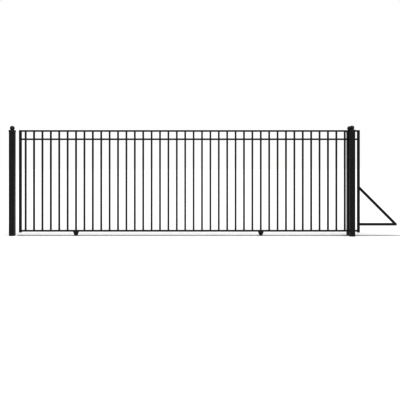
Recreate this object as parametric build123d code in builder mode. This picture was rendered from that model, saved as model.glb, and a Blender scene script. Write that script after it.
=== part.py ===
from build123d import *
from math import cos, radians, sin, sqrt, tan
import os

# A tracked sliding gate in square steel tube: a latch post, a pair of guide posts,
# a leaf on two grooved wheels, and the track that the wheels run on.
# Millimetres. X runs along the gate from the latch post to the guide posts, Y points
# away from the viewer, Z is up. The origin is the middle of the latch post's foot, at
# ground level.

# Posts
post_size = 90.0
post_wall = 3.0
post_height = 1881.0
latch_gap = 82.0
guide_post_inset = 156.0
guide_passage = 60.0

# Ball caps
cap_size = 102.0
cap_fit = 0.5
cap_corner = 7.0
cap_skirt_depth = 24.0
cap_lip_drop = 5.0
cap_lip_depth = 2.0
cap_roof = 4.0
cap_pyramid_rise = 6.0
cap_pyramid_top = 66.0
neck_radius = 28.0
neck_height = 6.0
ball_radius = 40.0
core_width = 40.0
core_height = 44.0
neck_bore_width = 30.0

# Leaf frame
leaf_length = 6096.0
leaf_height = 1829.0
foot_drop = 16.0
frame_tube = 38.0
frame_wall = 2.0
bar_tube = 25.0
bar_wall = 1.5
picket_count = 40
upper_bay = 123.0

# Tail of the leaf
tail_length = 659.0
tail_bar_rise = 145.0
brace_angle = 45.0

# Tube end plugs
plug_flange = 3.0
plug_depth = 18.0
plug_wall = 2.0
plug_fit = 0.3

# Track
track_bar_width = 56.0
track_bar_thickness = 3.0
track_angle_leg = 12.5
track_angle_thickness = 2.5
track_nose_radius = 1.5
track_lead = 30.0
track_overrun = 93.0
track_sections = 3
track_hole_radius = 4.5
track_hole_offset = 21.0
track_hole_inset = 60.0
track_hole_rows = 3

# Wheels, each under a picket that is counted from the left
left_wheel_picket_count = 7
right_wheel_picket_count = 29
wheel_radius = 32.0
wheel_rim = 1.0
groove_depth = 9.0
groove_root_flat = 1.0
track_running_gap = 0.3
wheel_top_gap = 5.0

# Double-row bearing in each wheel
bearing_radius = 15.0
bearing_width = 14.0
bearing_shoulder_radius = 12.5
bearing_seal_gap = 0.3
bearing_fit = 0.1

# Axles and wheel cheeks
axle_radius = 5.0
axle_fit = 0.15
axle_hole_fit = 0.2
sleeve_radius = 8.0
cheek_plate = 4.0
cheek_lap = 18.0
cheek_top_width = 98.0
cheek_foot_width = 54.0
cheek_drop = 22.0
cheek_corner = 12.0
axle_head_flats = 17.0
axle_head_height = 6.4
axle_nut_height = 6.0
axle_thread_end = 2.0

# Guides for the middle rail
guide_plate = 3.0
guide_plate_length = 80.0
guide_plate_height = 40.0
guide_plate_corner = 4.0
guide_block_length = 60.0
guide_block_height = 19.0
guide_lead_in = 8.0
guide_gap = 0.5

# How far the leaf opens
open_gap = 77.0

# Heights that stand on the track
track_rise = track_angle_leg / sqrt(2) + track_angle_thickness / sqrt(2)
track_top = track_bar_thickness + track_rise
groove_radius = wheel_radius - groove_depth
axle_z = track_top + track_running_gap * sqrt(2) + groove_radius
bottom_rail_z = axle_z + wheel_radius + wheel_top_gap
foot_z = bottom_rail_z - foot_drop
leaf_top_z = foot_z + leaf_height
top_rail_z = leaf_top_z - bar_tube
middle_rail_z = top_rail_z - upper_bay - bar_tube
tail_bar_z = foot_z + tail_bar_rise

# Places along the gate
leaf_left = post_size / 2 + latch_gap
leaf_right = leaf_left + leaf_length
rail_start = leaf_left + frame_tube
rail_length = leaf_length - 2 * frame_tube
picket_pitch = rail_length / picket_count
picket_xs = [rail_start + (i + 0.5) * picket_pitch for i in range(picket_count)]
left_wheel_x = picket_xs[left_wheel_picket_count - 1]
right_wheel_x = picket_xs[right_wheel_picket_count - 1]
guide_post_x = leaf_right - guide_post_inset
guide_post_y = guide_passage / 2 + post_size / 2
open_travel = guide_post_x - post_size / 2 - open_gap - rail_start
track_start = leaf_left - track_lead
track_length = right_wheel_x + open_travel + track_overrun - track_start
section_length = track_length / track_sections

# Widths that are set by their neighbours
wheel_width = 2 * (groove_depth + wheel_rim)
cheek_inside = bar_tube / 2
cheek_outside = cheek_inside + cheek_plate
guide_rail_z = middle_rail_z + bar_tube / 2

os.makedirs("parts", exist_ok=True)


def write(part, name):
    """Label a finished piece and write its file."""
    part.label = name
    export_step(part, f"parts/{name}.step")


def across(x, z):
    """The upright plane at x that faces along the gate, with its middle at height z."""
    return Plane(origin=(x, 0, z), x_dir=(0, 1, 0), z_dir=(1, 0, 0))


def square_tube(base, size, wall, length):
    """A square tube that starts on the base plane and runs along its normal.

    The outer corners are rounded to twice the wall, as on rolled tube. The corners
    inside, which nothing shows, are square.
    """
    with BuildPart() as tube:
        with BuildSketch(base):
            RectangleRounded(size, size, 2 * wall)
            inner = size - 2 * wall
            Rectangle(inner, inner, mode=Mode.SUBTRACT)
        extrude(amount=length)
    return tube.part


def end_plugs(bases):
    """Square plugs, one for each tube end.

    Each base plane lies on a tube's end and points out of the tube.
    """
    spigot = frame_tube - 2 * frame_wall - 2 * plug_fit
    with BuildPart() as plugs:
        for base in bases:
            with BuildSketch(base):
                RectangleRounded(frame_tube, frame_tube, 2 * frame_wall)
            extrude(amount=plug_flange)
            with BuildSketch(base):
                Rectangle(spigot, spigot)
                hollow = spigot - 2 * plug_wall
                Rectangle(hollow, hollow, mode=Mode.SUBTRACT)
            extrude(amount=-plug_depth)
    return plugs.part


def ball_cap(x, y):
    """A hollow cast cap: a lipped skirt round the post's head, a low pyramid, a neck and a ball."""
    seat = post_height
    skirt_foot = seat - cap_skirt_depth
    eave = seat + cap_roof
    crown = eave + cap_pyramid_rise
    axis = Axis((x, y, 0), (0, 0, 1))
    neck_top = crown + neck_height
    ball_z = neck_top + sqrt(ball_radius**2 - neck_radius**2)
    cavity = post_size + 2 * cap_fit
    with BuildPart() as cap:
        # skirt, with a thicker lip at its foot
        with BuildSketch(Plane((x, y, skirt_foot))):
            RectangleRounded(cap_size, cap_size, cap_corner)
        extrude(amount=cap_lip_drop)
        inset = cap_size - 2 * cap_lip_depth
        with BuildSketch(Plane((x, y, skirt_foot + cap_lip_drop))):
            RectangleRounded(inset, inset, cap_corner - cap_lip_depth)
        extrude(amount=eave - skirt_foot - 2 * cap_lip_drop)
        with BuildSketch(Plane((x, y, eave - cap_lip_drop))):
            RectangleRounded(cap_size, cap_size, cap_corner)
        extrude(amount=cap_lip_drop)
        # low pyramid
        with BuildSketch(Plane((x, y, eave))):
            RectangleRounded(cap_size, cap_size, cap_corner)
        with BuildSketch(Plane((x, y, crown))):
            RectangleRounded(cap_pyramid_top, cap_pyramid_top, cap_corner)
        loft()
        # neck and ball
        with BuildSketch(Plane((x, y, 0), x_dir=(1, 0, 0), z_dir=(0, -1, 0))):
            with BuildLine():
                foot = (0, crown)
                neck_foot = (cap_pyramid_top / 2, crown)
                neck_head = (neck_radius, neck_top)
                Polyline(foot, neck_foot, neck_head)
                ball = ThreePointArc(neck_head, (ball_radius, ball_z), (0, ball_z + ball_radius))
                Line(ball @ 1, foot)
            make_face()
        revolve(axis=axis)
        # the hollow that takes the post's head, and the core inside the ball
        with BuildSketch(Plane((x, y, skirt_foot))):
            Rectangle(cavity, cavity)
        extrude(amount=cap_skirt_depth, mode=Mode.SUBTRACT)
        with BuildSketch(Plane((x, y, seat))):
            Rectangle(neck_bore_width, neck_bore_width)
        extrude(amount=ball_z - seat, mode=Mode.SUBTRACT)
        with BuildSketch(Plane((x, y, ball_z))):
            Rectangle(core_width, core_width)
        extrude(amount=core_height / 2, both=True, mode=Mode.SUBTRACT)
    return cap.part


def track_section(x):
    """One length of track: a flat bar with bolt holes and an inverted angle welded along its middle."""
    inner_rise = track_rise - track_angle_thickness * sqrt(2)
    hole_pitch = (section_length - 2 * track_hole_inset) / (track_hole_rows - 1)
    with BuildPart() as section:
        with BuildSketch(Plane((x + section_length / 2, 0, 0))):
            Rectangle(section_length, track_bar_width)
            with GridLocations(hole_pitch, 2 * track_hole_offset, track_hole_rows, 2):
                Circle(track_hole_radius, mode=Mode.SUBTRACT)
        extrude(amount=track_bar_thickness)
        with BuildSketch(across(x, track_bar_thickness)) as angle:
            with BuildLine():
                Polyline((-track_rise, 0), (0, track_rise), (track_rise, 0), close=True)
            make_face()
            ridge = Vector(0, track_rise)
            fillet(angle.vertices().sort_by_distance(ridge)[0], track_nose_radius)
            with BuildLine():
                Polyline((-inner_rise, 0), (0, inner_rise), (inner_rise, 0), close=True)
            make_face(mode=Mode.SUBTRACT)
        extrude(amount=section_length)
    return section.part


def pickets(base_z, length):
    """A row of picket tubes, one over each picket place along the leaf."""
    with BuildPart() as row:
        with BuildSketch(Plane.XY.offset(base_z)):
            with Locations(*[(x, 0) for x in picket_xs]):
                Rectangle(bar_tube, bar_tube)
                inner = bar_tube - 2 * bar_wall
                Rectangle(inner, inner, mode=Mode.SUBTRACT)
        extrude(amount=length)
    return row.part


def tail_brace():
    """The sloping tube of the tail, mitred to the upright and to the top of the tail bar."""
    angle = radians(brace_angle)
    bar_top = tail_bar_z + frame_tube / 2
    foot_x = leaf_right + tail_length - plug_flange - frame_tube / (2 * sin(angle))
    head_z = bar_top + (foot_x - leaf_right) * tan(angle)
    middle = ((leaf_right + foot_x) / 2, 0, (head_z + bar_top) / 2)
    slope = Plane(origin=middle, x_dir=(0, 1, 0), z_dir=(cos(angle), 0, -sin(angle)))
    half = (foot_x - leaf_right) / (2 * cos(angle)) + frame_tube
    inner = frame_tube - 2 * frame_wall
    with BuildPart() as brace:
        with BuildSketch(slope):
            RectangleRounded(frame_tube, frame_tube, 2 * frame_wall)
            Rectangle(inner, inner, mode=Mode.SUBTRACT)
        extrude(amount=half, both=True)
        split(bisect_by=Plane(origin=(leaf_right, 0, 0), z_dir=(1, 0, 0)), keep=Keep.TOP)
        split(bisect_by=Plane(origin=(0, 0, bar_top), z_dir=(0, 0, 1)), keep=Keep.TOP)
    return brace.part


def wheel_cheeks(x):
    """The two plates that carry a wheel, lapped on the sides of the bottom rail."""
    with BuildPart() as cheeks:
        for inner_face in (-cheek_outside, cheek_inside):
            face = Plane(origin=(x, inner_face, 0), x_dir=(1, 0, 0), z_dir=(0, 1, 0))
            with BuildSketch(face):
                with BuildLine():
                    # local y points down, so heights are negative
                    Polyline(
                        (-cheek_top_width / 2, -(bottom_rail_z + cheek_lap)),
                        (cheek_top_width / 2, -(bottom_rail_z + cheek_lap)),
                        (cheek_top_width / 2, -bottom_rail_z),
                        (cheek_foot_width / 2, -(axle_z - cheek_drop)),
                        (-cheek_foot_width / 2, -(axle_z - cheek_drop)),
                        (-cheek_top_width / 2, -bottom_rail_z),
                        close=True,
                    )
                make_face()
            extrude(amount=cheek_plate)
        low = cheeks.edges().filter_by(Axis.Y).group_by(Axis.Z)[0]
        fillet(low, cheek_corner)
        with BuildSketch(Plane(origin=(x, -cheek_outside, axle_z), z_dir=(0, 1, 0))):
            Circle(axle_radius + axle_hole_fit)
        extrude(amount=2 * cheek_outside, mode=Mode.SUBTRACT)
    return cheeks.part


def wheel(x):
    """A steel wheel with a right-angled groove and a bearing pocket that is open to the front."""
    side = wheel_width / 2
    shoulder = bearing_width / 2
    root = groove_root_flat / 2
    with BuildPart() as body:
        with BuildSketch(across(x, axle_z)):
            with BuildLine():
                Polyline(
                    (-side, bearing_radius),
                    (-side, wheel_radius),
                    (-groove_depth, wheel_radius),
                    (-root, groove_radius + root),
                    (root, groove_radius + root),
                    (groove_depth, wheel_radius),
                    (side, wheel_radius),
                    (side, bearing_shoulder_radius),
                    (shoulder, bearing_shoulder_radius),
                    (shoulder, bearing_radius),
                    close=True,
                )
            make_face()
        revolve(axis=Axis((x, 0, axle_z), (0, 1, 0)))
    return body.part


def ring(x, half_length, bore, radius):
    """A plain ring round the axle at x, centred on the leaf's middle plane."""
    with BuildPart() as band:
        with BuildSketch(Plane(origin=(x, 0, axle_z), z_dir=(0, 1, 0))):
            Circle(radius)
            Circle(bore, mode=Mode.SUBTRACT)
        extrude(amount=half_length, both=True)
    return band.part


def bearing(x):
    """The outer ring and seals of a wheel's bearing, which turn with the wheel."""
    bore = sleeve_radius + bearing_seal_gap
    return ring(x, bearing_width / 2, bore, bearing_radius - bearing_fit)


def axle_sleeve(x):
    """The sleeve through the bearing, held between the cheeks by the axle bolt."""
    return ring(x, cheek_inside, axle_radius + axle_fit, sleeve_radius)


def axle_bolt(x):
    """A hexagon bolt through both cheeks, its head towards the viewer."""
    with BuildPart() as bolt:
        with BuildSketch(Plane(origin=(x, -cheek_outside, axle_z), z_dir=(0, -1, 0))):
            RegularPolygon(axle_head_flats / 2, 6, major_radius=False)
        extrude(amount=axle_head_height)
        with BuildSketch(Plane(origin=(x, -cheek_outside, axle_z), z_dir=(0, 1, 0))):
            Circle(axle_radius)
        extrude(amount=2 * cheek_outside + axle_nut_height + axle_thread_end)
    return bolt.part


def axle_nut(x):
    """A thin locking nut on the axle's rear end."""
    with BuildPart() as nut:
        with BuildSketch(Plane(origin=(x, cheek_outside, axle_z), z_dir=(0, 1, 0))):
            RegularPolygon(axle_head_flats / 2, 6, major_radius=False)
            Circle(axle_radius + axle_fit, mode=Mode.SUBTRACT)
        extrude(amount=axle_nut_height)
    return nut.part


def guide_face(side, distance):
    """The upright plane at a distance from the middle rail's centre line, facing the rail."""
    return Plane(
        origin=(guide_post_x, side * distance, guide_rail_z),
        x_dir=(1, 0, 0),
        z_dir=(0, -side, 0),
    )


def guide_back_plate(side):
    """The plate on a guide post's inner face that backs its block. side is -1 in front, 1 behind."""
    face = guide_face(side, guide_passage / 2)
    with BuildPart() as plate:
        with BuildSketch(face) as outline:
            Rectangle(guide_plate_length, guide_plate_height)
            chamfer(outline.vertices(), guide_plate_corner)
        extrude(amount=guide_plate)
    return plate.part


def guide_block(side):
    """A nylon block beside the middle rail, with rounded ends."""
    seat = guide_passage / 2 - guide_plate
    thickness = seat - bar_tube / 2 - guide_gap
    face = guide_face(side, seat)
    with BuildPart() as block:
        with BuildSketch(face):
            Rectangle(guide_block_length, guide_block_height)
        extrude(amount=thickness)
        rubbing = block.faces().sort_by(Axis.Y)[0 if side > 0 else -1]
        ends = rubbing.edges().filter_by(Axis.Z)
        fillet(ends, guide_lead_in)
    return block.part


def joined(pieces):
    """Like pieces that don't touch, as one node."""
    return Compound(children=pieces)


# Posts and their caps
post_places = {
    "latch_post": (0, 0),
    "front_guide_post": (guide_post_x, -guide_post_y),
    "rear_guide_post": (guide_post_x, guide_post_y),
}
for name, (x, y) in post_places.items():
    write(square_tube(Plane((x, y, 0)), post_size, post_wall, post_height), name)
write(joined([ball_cap(x, y) for x, y in post_places.values()]), "post_caps")

# Guides between the guide posts
for name, side in {"front": -1, "rear": 1}.items():
    write(guide_back_plate(side), f"{name}_guide_plate")
    write(guide_block(side), f"{name}_guide_block")

# Track
for i in range(track_sections):
    write(track_section(track_start + i * section_length), f"track_section_{i + 1}")

# Uprights and their plugs
upright_foot = foot_z + plug_flange
upright_head = leaf_top_z - plug_flange
upright_length = upright_head - upright_foot
upright_xs = {"left": leaf_left + frame_tube / 2, "right": leaf_right - frame_tube / 2}
upright_ends = []
for name, x in upright_xs.items():
    foot = Plane((x, 0, upright_foot))
    write(square_tube(foot, frame_tube, frame_wall, upright_length), f"{name}_upright")
    upright_ends.append(Plane(origin=(x, 0, upright_foot), z_dir=(0, 0, -1)))
    upright_ends.append(Plane((x, 0, upright_head)))
write(end_plugs(upright_ends), "upright_plugs")

# Rails
for name, z in {"top": top_rail_z, "middle": middle_rail_z, "bottom": bottom_rail_z}.items():
    start = across(rail_start, z + bar_tube / 2)
    write(square_tube(start, bar_tube, bar_wall, rail_length), f"{name}_rail")

# Pickets, in a tall bay and a short bay
tall_bay = middle_rail_z - bottom_rail_z - bar_tube
write(pickets(bottom_rail_z + bar_tube, tall_bay), "long_pickets")
write(pickets(middle_rail_z + bar_tube, upper_bay), "short_pickets")

# Tail
tail_start = across(leaf_right, tail_bar_z)
tail_bar_length = tail_length - plug_flange
write(square_tube(tail_start, frame_tube, frame_wall, tail_bar_length), "tail_bar")
write(end_plugs([tail_start.offset(tail_bar_length)]), "tail_bar_plug")
write(tail_brace(), "tail_brace")

# Wheels, each with its bearing, and what carries them
for name, x in {"left": left_wheel_x, "right": right_wheel_x}.items():
    write(wheel(x), f"{name}_wheel")
    write(bearing(x), f"{name}_bearing")
wheel_xs = [left_wheel_x, right_wheel_x]
write(joined([wheel_cheeks(x) for x in wheel_xs]), "wheel_cheeks")
write(joined([axle_sleeve(x) for x in wheel_xs]), "axle_sleeves")
write(joined([axle_bolt(x) for x in wheel_xs]), "axle_bolts")
write(joined([axle_nut(x) for x in wheel_xs]), "axle_nuts")
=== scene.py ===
import logging
import math
from abc import ABC, abstractmethod
from collections.abc import Callable, Iterator
from contextlib import contextmanager
from dataclasses import dataclass
from enum import Enum

import bmesh
import bpy
from mathutils import Euler, Matrix, Vector


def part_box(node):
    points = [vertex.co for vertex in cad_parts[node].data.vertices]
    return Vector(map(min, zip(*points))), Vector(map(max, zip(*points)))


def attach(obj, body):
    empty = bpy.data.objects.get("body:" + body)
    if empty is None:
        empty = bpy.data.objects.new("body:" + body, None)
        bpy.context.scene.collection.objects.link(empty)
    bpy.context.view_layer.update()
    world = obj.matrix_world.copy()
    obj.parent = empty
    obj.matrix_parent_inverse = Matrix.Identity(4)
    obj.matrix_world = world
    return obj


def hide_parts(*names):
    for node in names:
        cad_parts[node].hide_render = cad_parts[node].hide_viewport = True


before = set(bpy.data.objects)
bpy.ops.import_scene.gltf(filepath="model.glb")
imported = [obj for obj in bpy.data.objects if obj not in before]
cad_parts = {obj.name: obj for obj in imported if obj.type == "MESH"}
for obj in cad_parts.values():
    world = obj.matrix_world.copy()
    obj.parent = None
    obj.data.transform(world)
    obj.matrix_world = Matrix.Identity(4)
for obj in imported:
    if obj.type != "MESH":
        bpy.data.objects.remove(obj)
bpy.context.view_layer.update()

# The visual model of a tracked sliding gate, in metres, in the frame of its CAD model:
# X runs along the gate, Y away from the viewer, Z up.

log = logging.getLogger("gate")

MM = 0.001
HAIR = 0.05 * MM
DOUBLED = 0.01 * MM

# The angles in degrees below which faces are shaded as one surface.
CRISP = 30.0
CAST = 32.0
SPRUNG = 35.0
ROLLED = 40.0
RIPPLED = 60.0

Colour = tuple[float, float, float, float]
Place = tuple[float, float, float]
Pair = tuple[float, float]
Piece = bpy.types.Object
Socket = bpy.types.NodeSocket
Sockets = bpy.types.bpy_prop_collection

UP = Vector((0, 0, 1))


# Modelling tools


class Part(Enum):
    """The parts of a mesh that an edit-mode tool works on."""

    EDGES = "EDGE"
    FACES = "FACE"


class Cut(Enum):
    """What a cutting tool leaves of a piece."""

    OUTSIDE = "DIFFERENCE"
    INSIDE = "INTERSECT"


class Facing(Enum):
    """A side of the gate: the turn that makes a flat primitive face it, and the way out."""

    UP = ((0.0, 0.0, 0.0), (0.0, 0.0, 1.0))
    FRONT = ((math.pi / 2, 0.0, 0.0), (0.0, -1.0, 0.0))
    REAR = ((-math.pi / 2, 0.0, 0.0), (0.0, 1.0, 0.0))

    @property
    def outward(self) -> Vector:
        """The direction that the side looks in."""
        return Vector(self.value[1])


def clear_bench() -> None:
    """Leave edit mode and deselect everything."""
    if bpy.context.object and bpy.context.object.mode != "OBJECT":
        bpy.ops.object.mode_set(mode="OBJECT")
    bpy.ops.object.select_all(action="DESELECT")


def pick(piece: Piece) -> None:
    """Select one piece and nothing else.

    Args:
        piece: the piece that the next operator works on.
    """
    clear_bench()
    piece.select_set(True)
    bpy.context.view_layer.objects.active = piece


def take_up(name: str) -> Piece:
    """Name the primitive that was just added, and put its place into its mesh.

    Args:
        name: the piece's name.

    Returns:
        The piece, at the origin and unturned.
    """
    piece = bpy.context.object
    piece.name = name
    piece.data.name = name
    bpy.ops.object.transform_apply(location=True, rotation=True, scale=True)
    return piece


def block(name: str, low: Vector, high: Vector) -> Piece:
    """Add a block between two corners.

    Args:
        name: the piece's name.
        low: its lowest corner.
        high: its highest corner.

    Returns:
        The piece.
    """
    clear_bench()
    bpy.ops.mesh.primitive_cube_add(size=1, location=(low + high) / 2, scale=high - low)
    return take_up(name)


@contextmanager
def editing(piece: Piece) -> Iterator[None]:
    """Work on one piece in edit mode, with all of it selected.

    Args:
        piece: the piece to edit.

    Yields:
        Nothing; edit mode lasts as long as the block.
    """
    pick(piece)
    bpy.ops.object.mode_set(mode="EDIT")
    bpy.ops.mesh.select_mode(type="FACE")
    bpy.ops.mesh.select_all(action="SELECT")
    yield
    bpy.ops.object.mode_set(mode="OBJECT")


def select(piece: Piece, part: Part, wanted: Callable[[Vector], bool]) -> None:
    """Select parts of the mesh in edit mode by the place of their middles.

    Args:
        piece: the piece in edit mode.
        part: what to select.
        wanted: the test that a middle has to pass.
    """
    bpy.ops.mesh.select_mode(type=part.value)
    bpy.ops.mesh.select_all(action="DESELECT")
    mesh = bmesh.from_edit_mesh(piece.data)
    for item in mesh.edges if part is Part.EDGES else mesh.faces:
        if wanted(sum((vert.co for vert in item.verts), Vector()) / len(item.verts)):
            item.select_set(True)
    mesh.select_flush_mode()
    bmesh.update_edit_mesh(piece.data)


def push(piece: Piece, by: Vector, scale: Place = (1.0, 1.0, 1.0)) -> None:
    """Extrude what is selected, then scale the new end about its own middle.

    Args:
        piece: the piece in edit mode.
        by: how far the new end moves.
        scale: how much it grows along X, Y and Z.
    """
    bpy.ops.mesh.extrude_region_move(TRANSFORM_OT_translate={"value": by})
    mesh = bmesh.from_edit_mesh(piece.data)
    chosen = [vert.co for vert in mesh.verts if vert.select]
    middle = sum(chosen, Vector()) / len(chosen)
    bpy.ops.transform.resize(value=scale, center_override=middle)


def turn_outwards() -> None:
    """Turn every face of the piece in edit mode outwards."""
    bpy.ops.mesh.select_all(action="SELECT")
    bpy.ops.mesh.normals_make_consistent(inside=False)


def close_up(piece: Piece) -> None:
    """Merge a piece's doubled points and turn its faces outwards.

    Args:
        piece: the piece to mend.
    """
    with editing(piece):
        bpy.ops.mesh.remove_doubles(threshold=DOUBLED)
        turn_outwards()


def turned(
    name: str,
    seat: Vector,
    turn: Place | Euler,
    out: Place | Vector,
    radius: float,
    sides: int,
    steps: list[Pair],
    dish: Pair | None = None,
) -> Piece:
    """Make a stepped round or many-sided bar that stands on a seat.

    Args:
        name: the bar's name.
        seat: the middle of its foot.
        turn: its turn from upright, in radians about X, Y and Z.
        out: the way that it stands.
        radius: the distance to the corners of its foot.
        sides: its number of corners.
        steps: how far each step goes out, and how much wider it ends than it starts.
        dish: the rim and the depth of a hollow in its end, if it has one.

    Returns:
        The bar.
    """
    clear_bench()
    bpy.ops.mesh.primitive_circle_add(
        vertices=sides, radius=radius, fill_type="NGON", location=seat, rotation=turn
    )
    bar = take_up(name)
    with editing(bar):
        for reach, share in steps:
            push(bar, Vector(out) * reach, (share, share, share))
        if dish:
            bpy.ops.mesh.inset(thickness=dish[0])
            push(bar, Vector(out) * -dish[1])
    close_up(bar)
    return bar


def modify(piece: Piece, kind: str, **settings: object) -> None:
    """Add a modifier, set it and apply it.

    Args:
        piece: the piece to change.
        kind: Blender's name for the modifier's type.
        settings: the modifier's values by name.
    """
    pick(piece)
    modifier = piece.modifiers.new(kind.title(), kind)
    for name, value in settings.items():
        setattr(modifier, name, value)
    bpy.ops.object.modifier_apply(modifier=modifier.name)


def soften(piece: Piece, width: float, angle: float) -> None:
    """Round a piece's edges that are sharper than an angle in degrees."""
    least = math.radians(angle)
    modify(piece, "BEVEL", width=width, segments=2, limit_method="ANGLE", angle_limit=least)


def repeat(piece: Piece, count: int, step: Vector) -> None:
    """Copy a piece along a straight line, into the same mesh.

    Args:
        piece: the piece to repeat.
        count: how many there are in all.
        step: the way from one to the next.
    """
    modify(
        piece, "ARRAY", count=count, use_relative_offset=False,
        use_constant_offset=True, constant_offset_displace=step,
    )


def carve(piece: Piece, tool: Piece, cut: Cut) -> None:
    """Cut a piece with a closed tool, and drop the tool."""
    modify(piece, "BOOLEAN", object=tool, operation=cut.value, solver="EXACT")
    bpy.data.objects.remove(tool)


def copy_to(piece: Piece, by: Vector) -> Piece:
    """Copy a piece to another place, with its own mesh.

    Args:
        piece: the piece to copy.
        by: the way from the piece to its copy.

    Returns:
        The copy.
    """
    twin = piece.copy()
    twin.data = piece.data.copy()
    twin.data.transform(Matrix.Translation(by))
    bpy.context.scene.collection.objects.link(twin)
    return twin


def join(name: str, parts: list[Piece]) -> Piece:
    """Join parts into one piece.

    Args:
        name: the piece's name.
        parts: the parts, of which the first takes in the others.

    Returns:
        The piece.
    """
    clear_bench()
    for part in parts:
        part.select_set(True)
    bpy.context.view_layer.objects.active = parts[0]
    if len(parts) > 1:
        bpy.ops.object.join()
    parts[0].name = name
    parts[0].data.name = name
    return parts[0]


def centre(node: str) -> Vector:
    """Return the middle of a CAD node's box."""
    low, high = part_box(node)
    return (low + high) / 2


# Shader wiring


class Wiring:
    """Adds nodes to one tree and joins them."""

    def __init__(self, tree: bpy.types.NodeTree) -> None:
        """Start on an empty tree."""
        self.tree = tree
        tree.nodes.clear()

    def add(
        self, kind: str, inputs: dict[str | int, object] | None = None, **settings: object
    ) -> bpy.types.Node:
        """Add a node.

        Args:
            kind: the node's type, without its ShaderNode or Node prefix.
            inputs: a value or a socket to join, by the input's name or number.
            settings: the node's own properties by name.

        Returns:
            The node.
        """
        prefix = "Node" if kind in ("GroupInput", "GroupOutput") else "ShaderNode"
        node = self.tree.nodes.new(prefix + kind)
        for name, value in settings.items():
            setattr(node, name, value)
        for name, value in (inputs or {}).items():
            if isinstance(value, Socket):
                self.tree.links.new(value, node.inputs[name])
            else:
                node.inputs[name].default_value = value
        return node

    def maths(self, operation: str, *values: object, clamp: bool = False) -> Socket:
        """Return the result of a Math node on one to three values or sockets."""
        node = self.add("Math", dict(enumerate(values)), operation=operation, use_clamp=clamp)
        return node.outputs[0]

    def product(self, first: object, *others: object) -> Socket:
        """Multiply two or more values or sockets.

        Args:
            first: the first of them.
            others: the rest.

        Returns:
            The product.
        """
        for other in others:
            first = self.maths("MULTIPLY", first, other)
        return first

    def weigh(self, share: float, first: Socket, second: Socket) -> Socket:
        """Return a share of the first value and the rest of the second."""
        return self.maths("MULTIPLY_ADD", first, share, self.product(second, 1 - share))

    def blend(self, share: object, first: object, second: object) -> Socket:
        """Return the mix of two colours."""
        node = self.add("Mix", {0: share, 6: first, 7: second}, data_type="RGBA")
        return node.outputs[2]

    def between(self, value: object, low: float, high: float) -> Socket:
        """Turn a value from 0 to 1 into one from low to high."""
        return self.add("MapRange", {"Value": value, "To Min": low, "To Max": high}).outputs[0]

    def step(self, value: object, low: float, high: float) -> Socket:
        """Return 0 where a value is at low, 1 where it is at high, and smooth between."""
        ends = {"Value": value, "From Min": low, "From Max": high}
        return self.add("MapRange", ends, interpolation_type="SMOOTHSTEP").outputs[0]

    def band(self, value: Socket, rise: Pair, fall: Pair) -> Socket:
        """Return 1 where a value lies between a rise and a fall, each from its start to its end."""
        return self.product(self.step(value, *rise), self.step(value, fall[1], fall[0]))

    def place(self) -> Socket:
        """Return the surface point in the gate's frame."""
        return self.add("TexCoord").outputs["Object"]

    def along(self, axis: str) -> Socket:
        """Return how far the surface point lies along X, Y or Z."""
        return self.add("SeparateXYZ", {0: self.place()}).outputs[axis]

    def noise(
        self, scale: object, detail: float = 3.0, rough: float = 0.5, where: Socket | None = None
    ) -> Socket:
        """Return a cloudy value from about 0 to 1.

        Args:
            scale: how fine it is.
            detail: how many finer layers it has.
            rough: how strong those layers are.
            where: the point that it is read at, or the surface point.

        Returns:
            The value.
        """
        point = self.place() if where is None else where
        inputs = {"Vector": point, "Scale": scale, "Detail": detail, "Roughness": rough}
        return self.add("TexNoise", inputs).outputs[0]

    def relief(self, height: Socket, strength: float, depth: float) -> Socket:
        """Return the normals of a surface that rises and falls with a height."""
        inputs = {"Strength": strength, "Distance": depth, "Height": height}
        return self.add("Bump", inputs).outputs[0]


class Effect(ABC):
    """A surface effect that several finishes share, as one node group."""

    name: str
    inputs: dict[str, float]
    outputs: tuple[str, ...]

    def group(self) -> bpy.types.NodeTree:
        """Build the effect's node group the first time, and find it after that.

        Returns:
            The node group.
        """
        known = bpy.data.node_groups.get(self.name)
        if known:
            return known
        tree = bpy.data.node_groups.new(self.name, "ShaderNodeTree")
        for name, value in self.inputs.items():
            socket = tree.interface.new_socket(name, in_out="INPUT", socket_type="NodeSocketFloat")
            socket.default_value = value
        for name in self.outputs:
            tree.interface.new_socket(name, in_out="OUTPUT", socket_type="NodeSocketFloat")
        wiring = Wiring(tree)
        values = self.wire(wiring, wiring.add("GroupInput").outputs)
        wiring.add("GroupOutput", dict(zip(self.outputs, values)))
        return tree

    def on(self, wiring: Wiring, **values: float) -> Sockets:
        """Place the effect in a material.

        Args:
            wiring: the material's wiring.
            values: the effect's own values, by input name.

        Returns:
            The group node's outputs.
        """
        node = wiring.add("Group", node_tree=self.group())
        for name, value in values.items():
            node.inputs[name.replace("_", " ")].default_value = value
        return node.outputs

    @abstractmethod
    def wire(self, wiring: Wiring, given: Sockets) -> list[Socket]:
        """Wire the group.

        Args:
            wiring: the group's wiring.
            given: its inputs.

        Returns:
            A socket for each of its outputs.
        """


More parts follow.
